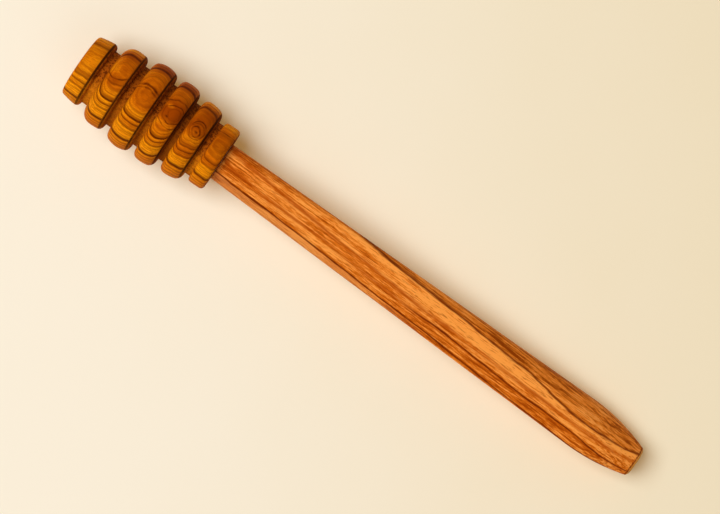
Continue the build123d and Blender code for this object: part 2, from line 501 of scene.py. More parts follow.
# %% [markdown]
# ## The handle: sections along a stick
#
# The handle was not turned but planed, so it has eight faces that run its whole length and swell
# towards the butt. Near the head the arrises are crisp. Towards the butt the top corner on one side
# is taken down so far that the section is nearly round there. The last 17 mm are a bullet nose.
#
# The shape is a rule with a table in it, and the rule is simple enough for plain mesh code: one ring
# of points for each station, with arcs at the arrises, and a skin from ring to ring.

# %% Sizes of the handle
handle_length = 128.2 * mm
handle_width_at_head = 10.1 * mm
handle_width_at_belly = 13.4 * mm
handle_thickness_at_head = 9.8 * mm
handle_thickness_at_belly = 13.1 * mm
butt_width = 7.9 * mm
butt_thickness = 7.6 * mm
butt_side_shift = 0.2 * mm
nose_length = 17.2 * mm
butt_edge_break = 0.5 * mm
glue_thickness = 0.1 * mm
arris_round_share = 1.1
shank = handle_length - nose_length

station_shares = (0.0, 0.18, 0.31, 0.42, 0.54, 0.66, 0.78, 0.89, 1.0)
nose_shares = (0.2, 0.4, 0.58, 0.74, 0.88, 1.0)
stations = [shank * share for share in station_shares] + [shank + nose_length * s for s in nose_shares]
bevel_shares = {
    "top_right": (0.18, 0.11, 0.07, 0.10, 0.16, 0.19, 0.27, 0.34, 0.40,
                  0.42, 0.43, 0.42, 0.38, 0.32, 0.26),
    "top_left": (0.21, 0.18, 0.15, 0.13, 0.11, 0.09, 0.08, 0.07, 0.07,
                 0.08, 0.10, 0.12, 0.14, 0.14, 0.13),
    "bottom_left": (0.18, 0.16, 0.15, 0.14, 0.14, 0.15, 0.17, 0.20, 0.22,
                    0.24, 0.25, 0.26, 0.25, 0.23, 0.20),
    "bottom_right": (0.19, 0.16, 0.14, 0.13, 0.13, 0.14, 0.16, 0.18, 0.20,
                     0.22, 0.24, 0.25, 0.24, 0.22, 0.19),
}
print(f"{shank / mm:.1f} mm of shank, then {nose_length / mm:.1f} mm of nose")


# %% The rule for a section
def along_table(values, x):
    """A smooth value from the table of stations at x, by a cubic between neighbours."""
    x = min(max(x, stations[0]), stations[-1])
    i = max(k for k in range(len(stations) - 1) if stations[k] <= x)
    before, after = max(i - 1, 0), min(i + 2, len(stations) - 1)
    step = stations[i + 1] - stations[i]
    slope_in = (values[i + 1] - values[before]) / (stations[i + 1] - stations[before]) * step
    slope_out = (values[after] - values[i]) / (stations[after] - stations[i]) * step
    t = (x - stations[i]) / step
    return (values[i] * (2 * t ** 3 - 3 * t ** 2 + 1) + slope_in * (t ** 3 - 2 * t ** 2 + t)
            + values[i + 1] * (3 * t ** 2 - 2 * t ** 3) + slope_out * (t ** 3 - t ** 2))


def half_size(x, at_head, at_belly, at_butt):
    """Half the stick's size at x: a straight taper up to the belly, then the nose's arc."""
    if x <= shank:
        return (at_head + (at_belly - at_head) * x / shank) / 2
    fall = (at_belly - at_butt) / 2
    radius = (nose_length ** 2 + fall ** 2) / (2 * fall)
    return at_belly / 2 - (radius - math.sqrt(radius ** 2 - (x - shank) ** 2))


def corner_arc(corner, before, after, radius, steps):
    """Points on the arc of that radius which rounds a corner between two neighbours."""
    to_before, to_after = (before - corner).normalized(), (after - corner).normalized()
    half_angle = to_before.angle(to_after) / 2
    reach = radius / math.tan(half_angle)
    centre = corner + (to_before + to_after).normalized() * radius / math.sin(half_angle)
    start, end = corner + to_before * reach - centre, corner + to_after * reach - centre
    return [centre + start.slerp(end, i / steps).normalized() * radius for i in range(steps + 1)]


def section_ring(x, inset=0.0):
    """One closed ring of points round the stick at x, in the plane of y and z."""
    y = half_size(x, handle_width_at_head, handle_width_at_belly, butt_width)
    z = half_size(x, handle_thickness_at_head, handle_thickness_at_belly, butt_thickness)
    bevels = [2 * min(y, z) * along_table(shares, x) for shares in bevel_shares.values()]
    y, z = y - inset, z - inset
    right_top, left_top, left_bottom, right_bottom = bevels
    corners = [Vector(point) for point in (
        (y, z - right_top), (y - right_top, z), (-y + left_top, z), (-y, z - left_top),
        (-y, -z + left_bottom), (-y + left_bottom, -z), (y - right_bottom, -z), (y, -z + right_bottom),
    )]
    radii = [bevel * arris_round_share for bevel in bevels for _ in range(2)]
    arris_steps, face_steps = 6, 8
    ring = []
    arcs = [corner_arc(corners[i], corners[i - 1], corners[(i + 1) % 8], radii[i], arris_steps)
            for i in range(8)]
    for i, bend in enumerate(arcs):
        following = arcs[(i + 1) % 8][0]
        ring += bend
        ring += [bend[-1].lerp(following, k / face_steps) for k in range(1, face_steps)]
    shift = Vector((-butt_side_shift * (max(x - shank, 0.0) / nose_length) ** 2, 0))
    return [point + shift for point in ring]


print(len(section_ring(0.0)), "points in a section")

# %% [markdown]
# ## Skin, ends and the marks of the hand
#
# Rings follow each other every half millimetre. Two waves take up to about a tenth of a millimetre
# off each face, because a hand plane and sandpaper never leave a face quite flat. The front end is
# cut square to the head and not to the handle, and the bore goes in along the head's axis too. The
# butt's edge is broken with a small chamfer, which shows in the light as a thin rim.

# %% Skin the handle
ring_step = 0.5 * mm
# Each wave: half its depth, how often it changes along and across the stick, and its offset
hand_waves = ((0.05 * mm, 45, 160, 0), (0.012 * mm, 260, 420, 7))
# Where the extra rings lie: outwards over the front end, down the broken edge, in over the butt
front_shares = (0.35, 0.7)
front_edge_share = 0.995
edge_shares = (0.15, 0.5, 0.85, 1.0)
butt_shares = (0.9, 0.6, 0.3)


def worn(point):
    """A point of the stick's surface, moved inwards by the small unevenness of hand work."""
    loss = 0.0
    for depth, along, across, offset in hand_waves:
        place = Vector((point.x * along, point.y * across, point.z * across + offset))
        loss += depth * (1 + noise.noise(place))
    return point - Vector((0, point.y, point.z)).normalized() * loss


def handle_rings():
    """All rings of the handle, from the end of the bore round the outside to the butt."""
    across = Vector((-math.sin(joint_skew), math.cos(joint_skew), 0))
    into = Vector((math.cos(joint_skew), math.sin(joint_skew), 0))
    up = Vector((0, 0, 1))
    front = section_ring(0.0)
    angles = [math.atan2(p.y, p.x) for p in front]

    def bore_ring(depth, radius):
        return [into * depth + (across * math.cos(a) + up * math.sin(a)) * radius for a in angles]

    def on_front(p):
        return Vector(((glue_thickness - p.x * math.sin(joint_skew)) / math.cos(joint_skew), p.x, p.y))

    rings = [bore_ring(bore_depth, bore_radius), bore_ring(glue_thickness, bore_radius)]
    rim_ring = [on_front(p) for p in front]
    middle = Vector((glue_thickness, 0, 0))
    rings += [[rings[1][i].lerp(p, share) for i, p in enumerate(rim_ring)] for share in front_shares]
    rings.append([worn(middle + (p - middle) * front_edge_share) for p in rim_ring])

    last = handle_length - butt_edge_break
    count = round((last - ring_step) / ring_step)
    for i in range(count + 1):
        x = ring_step + (last - ring_step) * i / count
        rings.append([worn(Vector((x, p.x, p.y))) for p in section_ring(x)])
    for share in edge_shares:
        x = last + butt_edge_break * share
        inset = butt_edge_break * share
        rings.append([worn(Vector((x, p.x, p.y))) for p in section_ring(x, inset)])
    edge = rings[-1]
    centre = sum(edge, Vector()) / len(edge)
    rings += [[centre.lerp(p, share) for p in edge] for share in butt_shares]
    return rings


def skin(rings, name):
    """A closed mesh over rings of equal length, with a point in the middle of both ends."""
    points = [p for ring in rings for p in ring]
    n = len(rings[0])
    faces = []
    for r in range(len(rings) - 1):
        for i in range(n):
            j = (i + 1) % n
            faces.append((r * n + i, r * n + j, (r + 1) * n + j, (r + 1) * n + i))
    for ring_start, ring in ((0, rings[0]), ((len(rings) - 1) * n, rings[-1])):
        points.append(sum(ring, Vector()) / n)
        pole = len(points) - 1
        faces += [(ring_start + i, ring_start + (i + 1) % n, pole) for i in range(n)]
    mesh = bpy.data.meshes.new(name)
    mesh.from_pydata(points, [], faces)
    mesh.shade_smooth()
    outward(mesh)
    return mesh


handle_mesh = skin(handle_rings(), "dipper_handle")
handle_mesh.transform(handle_axes)
print(len(handle_mesh.polygons), "faces on the handle")

# %% [markdown]
# ## Timber: a solid that was cut
#
# The lines on a piece of wood are not painted along its surface. They are growth rings, thin shells
# round the middle of the tree, and the surface shows where it cuts them. So each finish is built as
# a solid: a point's distance from the pith decides which ring it lies in, wherever the surface runs.
# That is what draws arches and bows on the crowned lobes and long drifting lines on the handle.
#
# Every point is first taken into its timber's own axes, in millimetres, with x along the grain.


# %% Coordinates inside a timber
def empty_tree(owner):
    """The node tree of a material or a world, with nothing in it."""
    owner.use_nodes = True
    owner.node_tree.nodes.clear()
    return owner.node_tree


def timber_space(tree, axes):
    """Object coordinates in a timber's own axes, in millimetres."""
    here = read(tree, "ShaderNodeTexCoord", output="Object")
    inputs = {"Vector": here, "Location": axes.to_translation(), "Rotation": axes.to_euler(),
              "Scale": (mm, mm, mm)}
    return read(tree, "ShaderNodeMapping", inputs, vector_type="TEXTURE")


def stretched_noise(space, along, across, detail=2.0, roughness=0.5, offset=0.0):
    """Noise that changes 'along' times a millimetre down the grain and 'across' times over it."""
    inputs = {"Vector": space, "Scale": (along, across, across), "Location": (offset, offset, 0)}
    place = read(space.tree, "ShaderNodeMapping", inputs, vector_type="POINT")
    noise_inputs = {"Vector": place, "Scale": 1.0, "Detail": detail, "Roughness": roughness}
    return read(space.tree, "ShaderNodeTexNoise", noise_inputs)


def end_grain(tree, axes):
    """How far the surface faces along the grain: 0 on side grain and 1 on a sawn end."""
    normal = read(tree, "ShaderNodeNewGeometry", output="True Normal")
    along = (axes.to_3x3() @ Vector((1, 0, 0))).normalized()
    inputs = {0: normal, 1: along}
    return calc("ABSOLUTE", read(tree, "ShaderNodeVectorMath", inputs, "Value", operation="DOT_PRODUCT"))


# %% [markdown]
# ## Steps, ramps, mixes and hills
#
# A finish is built from few kinds of rule. A soft step says where something begins or ends, and a
# ramp gives a level at each of several places. A noise can be made to swing about nothing, and a
# hill darkens or brightens one spot. Two colours are mixed by any of them, and one last rule turns
# colour, roughness and relief into a surface.


# %% Rules that finishes share
def smooth_step(value, low, high):
    """0 below low, 1 above high and a soft change between. It falls where low is above high."""
    inputs = {"Value": value, "From Min": low, "From Max": high}
    return read(value.tree, "ShaderNodeMapRange", inputs, interpolation_type="SMOOTHSTEP")


def spread(value, low, high):
    """A value from 0 to 1, spread out from low to high."""
    return read(value.tree, "ShaderNodeMapRange", {"Value": value, "To Min": low, "To Max": high})


def grey_ramp(value, low, high, stops, ease="EASE"):
    """A ramp over (place, level) stops, for a value that runs from low to high."""
    share = read(value.tree, "ShaderNodeMapRange", {"Value": value, "From Min": low, "From Max": high})
    ramp = add(value.tree, "ShaderNodeValToRGB", {"Fac": share})
    elements = ramp.color_ramp.elements
    ramp.color_ramp.interpolation = ease
    for element, (place, level) in zip(elements, (min(stops), max(stops))):
        element.position = (place - low) / (high - low)
        element.color = (level, level, level, 1)
    for place, level in sorted(stops)[1:-1]:
        elements.new((place - low) / (high - low)).color = (level, level, level, 1)
    return Reading(value.tree, ramp.outputs["Color"])


def swing(value, reach):
    """A noise value moved to swing about nothing, by reach each way at most."""
    return (value - 0.5) * (2 * reach)


def apart(parts, x, y, reach_x, reach_y):
    """Distance from a place in the plane of x and y, as a share of the two reaches."""
    aside = calc("POWER", (parts[0] - x) / reach_x, 2.0)
    over = calc("POWER", (parts[1] - y) / reach_y, 2.0)
    return calc("SQRT", aside + over)


def hump(parts, x, y, reach_x, reach_y, height):
    """A smooth round hill over the plane of x and y."""
    share = apart(parts, x, y, reach_x, reach_y)
    return calc("EXPONENT", share * share * -0.5) * height


def colour_mix(factor, first, second):
    """The first colour where the factor is 0, the second where it is 1, and mixtures between."""
    first, second = (end if isinstance(end, Reading) else (*end, 1.0) for end in (first, second))
    return read(factor.tree, "ShaderNodeMix", {0: factor, 6: first, 7: second}, 2, data_type="RGBA")


def surface(tree, colour, roughness, relief, strength, depth, shine=0.5, tint=(1.0, 1.0, 1.0)):
    """End a material's tree with a colour, a roughness and a relief of some strength and depth."""
    bump = read(tree, "ShaderNodeBump", {"Height": relief, "Strength": strength, "Distance": depth})
    shader = read(tree, "ShaderNodeBsdfPrincipled", {
        "Base Color": colour, "Roughness": roughness, "Normal": bump,
        "Specular IOR Level": shine, "Specular Tint": (*tint, 1.0)})
    add(tree, "ShaderNodeOutputMaterial", {"Surface": shader})


# %% [markdown]
# ## The golden timber of the head
#
# The blank was cut far from the pith, so its rings are nearly flat sheets that lean seventeen
# degrees. Where a sheet cuts a crowned rim it draws an arch on the upper side and a bow on the lower.
# The sheets lie a little higher or lower along the blank, and small humps in them shift the bows.
# Two lists give the strong rings, one for each side, because they stand at different heights there,
# and the darkest bow of the lower side stands by itself, because it fades along the blank. A ring
# starts sharply on its outer side and fades inwards, because a tree stops growing at once in a dry
# season and picks up slowly in the next.
#
# The ovals, a knot and an eye on the rims, and a short arch on the last lobe, are figures of their
# own: small branches once grew there. Each is drawn round its own middle and runs down into the
# wood. Their lines waver by a few tenths of a millimetre and fade in places, as real ones do.

# %% Colours and rings of the head
gold_light = (1.00, 0.325, 0.0040)
gold_mid = (0.73, 0.165, 0.0018)
gold_deep = (0.35, 0.054, 0.0006)
ring_brown = (0.080, 0.009, 0.0004)
bare_gold = (0.60, 0.175, 0.005)
bare_brown = (0.40, 0.084, 0.004)
bare_red = (0.13, 0.022, 0.002)
# The near-black of soot, also used for the painted shade on the rims and on the top
soot_and_shade_black = (0.015, 0.003, 0.001)

ring_lean = math.radians(17)
# The length of blank and the height to either side of its axis that the tables below run over
blank_length = 42.5
ring_reach = 13.0
# About how many faint rings there are to a millimetre, and how dark the strong ones are drawn
faint_rings = 2.6
line_gain = 1.35
# How far the figures' lines may waver each way, in millimetres, and how faint they get in places
figure_waver = 0.55
figure_faintest = 0.55
# Where one half of a figure shows, it comes up from the middle over this share of its reach
half_rise = 0.8
# Rings by height above the head's axis: height, darkness, reach below and reach above it
lower_rings = (
    (11.3, 0.20, 0.1, 0.4), (10.95, 0.15, 0.1, 0.3), (10.35, 0.28, 0.1, 0.4), (9.9, 0.25, 0.1, 0.3),
    (9.45, 0.4, 0.1, 0.4), (8.1, 0.70, 0.12, 0.5), (7.7, 0.25, 0.1, 0.3),
    (7.1, 0.65, 0.12, 0.5), (6.3, 0.4, 0.1, 0.4), (4.1, 1.0, 0.45, 0.95), (2.7, 0.35, 0.3, 0.5),
    (1.6, 0.3, 0.2, 0.5), (-0.2, 0.5, 0.2, 0.6), (-1.4, 0.3, 0.2, 0.5), (-3.1, 0.4, 0.2, 0.5),
    (-5.2, 0.5, 0.2, 0.6), (-6.3, 0.3, 0.2, 0.4), (-8.6, 0.5, 0.2, 0.6), (-10.2, 0.35, 0.2, 0.5),
)
# The darkest bow of the lower side
bow_ring = (9.0, 1.0, 0.16, 0.6)
upper_rings = (
    (10.75, 0.40, 0.1, 0.3), (10.2, 0.35, 0.1, 0.3), (9.6, 0.35, 0.1, 0.3), (8.75, 1.0, 0.75, 0.55),
    (7.3, 0.45, 0.25, 0.35), (5.9, 0.40, 0.25, 0.35), (4.4, 0.5, 0.3, 0.5), (3.0, 0.3, 0.2, 0.4),
    (1.0, 0.45, 0.3, 0.6), (-0.5, 0.3, 0.2, 0.4), (-2.6, 0.5, 0.3, 0.6), (-4.1, 0.3, 0.3, 0.5),
    (-6.0, 0.45, 0.3, 0.6), (-7.8, 0.35, 0.3, 0.6), (-9.4, 0.5, 0.3, 0.6),
)
# How far the rings are raised at places along the blank, and how they tip sideways there
ring_rise = ((0, -1.85), (2.7, -1.30), (5.3, -1.08), (7.6, -0.3), (10.3, -0.2), (18.5, -0.05),
             (26.0, -0.34), (33.6, 0.0), (37.8, -0.76), (42.5, -0.80))
ring_tip = ((0, 0.03), (10.3, 0.0), (26.0, 0.0), (33.6, -0.07), (38.5, 0.0), (42.5, 0.0))
# How strong the lines of each side and the bow are along the blank
upper_strength = ((0, 0.6), (6.0, 0.6), (9.0, 0.85), (16.0, 1.0), (28.0, 1.0), (36.0, 0.7),
                  (38.2, 0.3), (42.5, 0.3))
lower_strength = ((0, 0.85), (5.8, 0.85), (7.5, 1.0), (36.2, 1.0), (38.2, 0.85), (42.5, 0.85))
bow_strength = ((0, 0.75), (6.0, 0.75), (8.0, 1.0), (28.5, 1.0), (31.5, 0.65), (35.5, 0.65),
                (38.0, 0.4), (42.5, 0.4))
# How golden the lower side of the grooves is along the blank
groove_gold = ((0, 1.0), (8.0, 1.0), (13.0, 0.35), (22.0, 0.6), (29.0, 0.15), (37.0, 1.0), (42.5, 1.0))
# Humps in the rings: x, y, reach along, reach across and height
ring_humps = ((18.5, -4.8, 3.0, 2.4, -0.75), (29.6, -7.0, 1.8, 3.0, -0.7), (36.8, -4.5, 1.8, 3.0, -0.5),
              (10.3, 6.0, 2.6, 1.6, 0.5), (40.3, -5.5, 3.0, 2.4, -0.65))
# Closed figures: x, y, reach along, reach across, the half that shows (0 for both) and its rings,
# each with its distance from the middle as a share of the reach, its darkness and its breadth
figures = (
    (9.5, 5.4, 3.5, 3.45, -1, ((1.0, 0.65, 0.14), (1.42, 0.5, 0.14))),
    (10.4, 0.9, 0.7, 0.35, 0, ((0.0, 0.5, 1.0),)),
    (18.3, 0.6, 5.5, 4.65, 1, ((1.0, 0.8, 0.13), (0.79, 0.6, 0.10))),
    (17.9, 2.1, 1.2, 1.2, 0, ((1.0, 0.15, 0.25),)),
    (26.6, 2.7, 2.7, 2.45, 0, ((1.0, 0.7, 0.12), (0.62, 0.3, 0.12), (1.48, 0.6, 0.12))),
    (25.4, 1.5, 0.85, 0.5, 0, ((0.0, 1.0, 1.1),)),
    (33.45, 2.35, 0.85, 0.6, 0, ((0.0, 1.0, 1.0),)),
    (33.4, 2.5, 1.0, 1.0, 0, ((1.15, 0.75, 0.35), (1.85, 0.55, 0.30))),
    (33.4, 2.5, 2.1, 2.65, 1, ((1.0, 0.95, 0.13),)),
    (40.3, 5.1, 3.6, 1.0, 1, ((1.0, 0.75, 0.30),)),
)
# How bright the timber is between the rings, from the lowest wood to the highest
gold_tone = ((-12, 0.5), (-6, 0.7), (0, 0.65), (3.4, 0.72), (4.1, 0.75), (4.5, 1.0), (6.8, 1.0),
             (7.3, 0.70), (9.0, 0.62), (10.2, 0.60), (11.0, 0.40), (12, 0.30))
# Darker and brighter patches: x, y, reach along, reach across and the change of tone
gold_patches = (
    (27.0, 2.4, 8.0, 2.5, -0.32), (26.4, 3.2, 2.4, 2.4, -0.18), (34.5, 6.3, 3.0, 2.0, -0.18),
    (33.3, 0.0, 2.4, 1.0, 0.30), (34.0, -3.6, 3.0, 1.6, -0.25), (8.8, 5.0, 1.0, 1.2, 0.30),
    (3.0, 0.0, 3.0, 6.0, 0.16), (24.9, 4.1, 0.7, 0.35, 0.7), (18.3, -1.6, 4.0, 1.7, 0.30),
    (18.3, 3.4, 3.4, 1.6, 0.20), (26.4, -0.3, 3.5, 1.1, 0.32), (40.4, 1.6, 2.5, 1.3, 0.1),
    (18.3, 6.4, 3.4, 1.3, 0.12), (10.3, 5.5, 2.6, 2.4, -0.06), (10.3, -3.0, 3.0, 3.5, 0.18),
    (18.0, 11.1, 3.4, 1.1, -0.8), (26.0, 10.7, 3.0, 1.1, -0.7), (9.6, 8.6, 2.4, 0.8, -0.5),
    (40.4, 5.2, 2.4, 1.0, -0.25), (40.4, -1.5, 2.4, 1.2, -0.28), (34.2, 7.8, 2.4, 1.4, -0.25),
    (9.6, 1.2, 2.0, 1.0, -0.3),
)
print(len(lower_rings + upper_rings) + 1, "strong rings and", len(figures), "figures")


# %% Lines on the head
def along_blank(x, stops, ease="EASE"):
    """A level that changes along the blank, by stops in millimetres from the tip."""
    return grey_ramp(x, 0.0, blank_length, stops, ease)


def up_blank(height, stops):
    """A level that changes with the height among the rings."""
    return grey_ramp(height, -ring_reach, ring_reach, stops, "LINEAR")


def ring_height(space, parts):
    """How high a point lies among the sheets of the rings, in millimetres."""
    height = parts[1] * math.sin(ring_lean) + parts[2] * math.cos(ring_lean)
    height += swing(stretched_noise(space, 0.05, 0.13, detail=1.0), 0.15)
    height += swing(stretched_noise(space, 0.35, 0.9, offset=4.0), 0.15)
    rise = along_blank(parts[0], [(x, 0.5 + level / 4) for x, level in ring_rise], "LINEAR")
    tip = along_blank(parts[0], [(x, 0.5 + slope) for x, slope in ring_tip])
    height -= swing(rise, 2.0) + (tip - 0.5) * parts[1]
    for one in ring_humps:
        height += hump(parts, *one)
    return height


def ring_lines(height, rings):
    """Dark lines at the rings. Two ramps share them, because one holds 32 stops at most."""
    halves = []
    for half in (rings[0::2], rings[1::2]):
        stops = [(-ring_reach, 0.0), (ring_reach, 0.0)]
        for place, strength, below, above in half:
            stops += [(place - below, 0.0), (place, strength), (place + above, 0.0)]
        halves.append(up_blank(height, stops))
    return most(*halves)


def figure_lines(parts, waver, x, y, reach_x, reach_y, half, rings):
    """The rings of one closed figure, on all sides of its middle or on one half of it."""
    share = apart(parts, x, y, reach_x, reach_y) + waver / max(reach_x, reach_y)
    lines = most(*(smooth_step(calc("ABSOLUTE", share - place), breadth, 0.0) * strength
                   for place, strength, breadth in rings))
    if half == 0:
        return lines
    return lines * smooth_step(parts[1], y, y + half * reach_y * half_rise)


def strong_lines(space, parts, height):
    """The strong rings of both sides, the bow and the figures, as one darkness."""
    x, y, _ = parts
    bow = ring_lines(height, (bow_ring,)) * along_blank(x, bow_strength)
    lower = most(ring_lines(height, lower_rings), bow) * along_blank(x, lower_strength)
    upper = ring_lines(height, upper_rings) * along_blank(x, upper_strength)
    side = smooth_step(y, 3.0, 5.0)
    strong = lower * (1.0 - side) + upper * side
    waver = swing(stretched_noise(space, 0.5, 0.5, detail=0.0, offset=13.0), figure_waver)
    fading = stretched_noise(space, 0.6, 0.6, detail=0.0, offset=17.0)
    kept = smooth_step(fading, 0.38, 0.54) * (1.0 - figure_faintest) + figure_faintest
    for one in figures:
        strong = most(strong, figure_lines(parts, waver, *one) * kept)
    return calc("MULTIPLY", strong, line_gain, clamp=True)


# %% [markdown]
# ## Oiled rims and bare grooves
#
# Between the strong rings the rims are gold, lighter or deeper by the height of the wood and in
# patches, with faint yearly lines. The cut surfaces were never oiled: they are duller, and torn fibres
# show in them as red-brown specks. They are browner on the upper side and gold on the lower, partly
# their own colour and partly painted light from below. Soot settles where the tool rubbed, and it is
# drawn darker on the side that looks up than on the flanks, as painted shade.


# %% Finish of the head
def golden_wood(space, parts, height):
    """The gold between the strong rings."""
    cloud = stretched_noise(space, 0.18, 0.45, detail=3.0, offset=9.0)
    tone = up_blank(height, gold_tone) + swing(cloud, 0.275)
    for one in gold_patches:
        tone += hump(parts, *one)
    base = colour_mix(smooth_step(tone, 0.45, 1.05), gold_mid, gold_light)
    base = colour_mix(smooth_step(tone, 0.60, -0.05), base, gold_deep)
    inputs = {"W": height * faint_rings, "Scale": 1.0, "Detail": 2.0}
    years = read(space.tree, "ShaderNodeTexNoise", inputs, noise_dimensions="1D")
    return colour_mix(smooth_step(years, 0.46, 0.64) * 0.40, base, gold_deep)


def bare_wood(parts, torn):
    """The colour of the cut surfaces, golden on the lower side partly as painted light."""
    # Painted light, in part: the cut surfaces turn golden on the lower side, as if lit from below
    low_side = smooth_step(parts[1], 1.0, -4.0)
    base = colour_mix(low_side * along_blank(parts[0], groove_gold), bare_brown, bare_gold)
    specks = smooth_step(torn, 0.44, 0.60) * (1.0 - low_side * 0.55)
    return colour_mix(specks, base, bare_red)


def head_timber():
    """The head's whole finish: rings on gold wood, then bare wood, then soot with painted shade."""
    material = bpy.data.materials.new("golden_timber")
    tree = empty_tree(material)
    space = timber_space(tree, head_axes)
    parts = split(space)
    bare, soot_and_shade = (read(tree, "ShaderNodeAttribute", output="Fac", attribute_name=name)
                  for name in ("bare", "soot_and_shade"))

    height = ring_height(space, parts)
    strong = strong_lines(space, parts, height)
    fibre = stretched_noise(space, 0.5, 3.5, detail=3.0, roughness=0.6)
    base = colour_mix(strong * 0.95, golden_wood(space, parts, height), ring_brown)
    base = colour_mix(smooth_step(fibre, 0.42, 0.66) * 0.42, base, gold_deep)

    torn = stretched_noise(space, 1.3, 1.3, detail=3.0, roughness=0.7)
    ends = smooth_step(end_grain(tree, head_axes), 0.80, 1.0)
    cut = most(ends * 0.45, smooth_step(bare, 0.0, 0.8))
    base = colour_mix(cut * 0.95, base, bare_wood(parts, torn))
    # Painted shade: soot, and the rims' painted shade with it, is drawn in full on the top and at 0.55 on
    # the flanks
    painted_top_shade = smooth_step(parts[2], 1.0, 7.0) * 0.45 + 0.55
    patchy = 1.0 - smooth_step(torn, 0.48, 0.64) * 0.35
    base = colour_mix(soot_and_shade * painted_top_shade * patchy, base, soot_and_shade_black)

    relief = fibre * 0.5 - strong * 0.5 + torn * cut * 1.5
    rough = spread(fibre, 0.42, 0.60) + cut * 0.25
    surface(tree, base, rough, relief, strength=0.35, depth=0.1 * mm, shine=0.01,
            tint=(1.0, 0.62, 0.16))
    return material


golden_timber = head_timber()
print(len(golden_timber.node_tree.nodes), "nodes in the golden timber")

# %% [markdown]
# ## The orange timber of the handle
#
# The handle's rings are almost flat, because its pith was far away. They stand steeply, thirty
# degrees from upright, and run out of the stick at about two degrees to its length, so the lines
# drift from one side of the top face to the other. Each of the few strong lines wanders in its own
# way, so each has a curve of its own: where it lies, along the stick.

# %% Colours and rings of the handle
orange_light = (1.00, 0.350, 0.058)
orange_mid = (0.72, 0.162, 0.0085)
orange_deep = (0.36, 0.053, 0.0005)
line_brown = (0.17, 0.020, 0.0004)
streak_red = (0.46, 0.068, 0.0008)
heart_light = (1.00, 0.350, 0.062)
heart_mid = (0.80, 0.205, 0.016)
heart_deep = (0.30, 0.050, 0.0010)
painted_sheen_pink = (0.74, 0.265, 0.065)
butt_gold = (0.72, 0.330, 0.060)

plank_lean = math.radians(30)
grain_slope = 0.0336
# Each strong line: where its ring lies, in millimetres, at shares of the handle's length
handle_lines = {
    "heart": ((0.0, 9.6), (0.34, 8.4), (0.41, 8.3), (0.56, 8.45), (0.67, 8.2), (0.73, 8.2), (0.78, 7.6),
              (0.83, 7.2), (0.94, 7.2), (0.965, 7.45), (1.0, 7.85)),
    "upper": ((0.0, 5.6), (0.06, 5.3), (0.18, 5.05), (0.28, 4.85), (0.47, 4.7), (0.65, 5.2), (0.88, 5.85),
              (0.95, 5.9), (1.0, 6.2)),
    "lower": ((0.0, 3.1), (0.04, 2.5), (0.11, 2.25), (0.18, 2.6), (0.25, 2.95), (0.44, 2.9), (0.5, 3.3),
              (0.6, 3.55), (0.7, 3.45), (0.83, 3.85), (0.88, 3.85), (0.93, 3.4), (1.0, 3.4)),
    "edge": ((0.0, -0.05), (0.05, -0.15), (0.12, 0.2), (0.24, 0.6), (0.44, 0.75), (0.5, 1.05), (0.7, 0.85),
             (1.0, 1.2)),
}
# The ramps that hold these curves run from 0 to 1, so the places are moved and scaled to fit
curve_start = -1.0
curve_span = 12.0
# Where the butt's broken edge begins, in millimetres from the joint
edge_at = (handle_length - butt_edge_break) / mm
# Two places where the tone differs: x, y, reach along, reach across and the change of tone
dull_belly = (115.0, -2.2, 6.0, 1.6, -0.2)
heart_streaks = (96.0, 5.4, 9.0, 1.6, -0.24)
print("strong lines on the handle:", list(handle_lines))


# %% Lines on the handle
def beyond_lines(space, parts):
    """How far beyond each strong line a point lies across the rings, in millimetres."""
    x, y, z = parts
    ripple = stretched_noise(space, 0.15, 1.2, detail=3.0, offset=2.0)
    distance = y * math.cos(plank_lean) + z * math.sin(plank_lean)
    distance += x * grain_slope + swing(ripple, 0.35)
    share = x / (handle_length / mm)
    beyond = {}
    for name, points in handle_lines.items():
        stops = [(place, (level - curve_start) / curve_span) for place, level in points]
        level = grey_ramp(share, 0.0, 1.0, stops, "LINEAR") * curve_span + curve_start
        beyond[name] = distance - level
    return beyond


def line(beyond, below, above):
    """A line that comes up over so many millimetres below its place and fades over those above."""
    return smooth_step(beyond, -below, 0.0) * smooth_step(beyond, above, 0.0)


def dark_lines(x, beyond, broken):
    """The darkest lines, with a short one across the wood just before the butt's edge."""
    lower = line(beyond["lower"], 0.28, 0.28) * smooth_step(x, 55.0, 66.0)
    heart = line(beyond["heart"], 0.30, 0.40) * 0.80
    lines = calc("MULTIPLY", most(lower, line(beyond["edge"], 0.42, 0.34), heart), 1.2, clamp=True)
    at_butt = smooth_step(x, edge_at - 0.6, edge_at - 0.3) * smooth_step(x, edge_at, edge_at - 0.2)
    return most(lines, at_butt * broken)


# %% [markdown]
# ## Sapwood, heartwood and the butt
#
# Most of the stick is orange and streaked along its grain. It is duller near the joint, apart from
# its first millimetre, which is painted lighter to soften the head's shadow there. Towards the butt
# it is duller below the lower line and brighter above the upper one. Beyond the heart line the wood
# is lighter and more streaky. Outside the edge line, near the head, a painted sheen makes it paler
# and pinker. The butt's broken edge shows fresh, pale wood.


# %% Finish of the handle
def three_tones(tone, deep, mid, light):
    """Deep at tone 0, mid at 0.5 and light at 1."""
    base = colour_mix(smooth_step(tone, 0.45, 1.0), mid, light)
    return colour_mix(smooth_step(tone, 0.55, 0.0), base, deep)


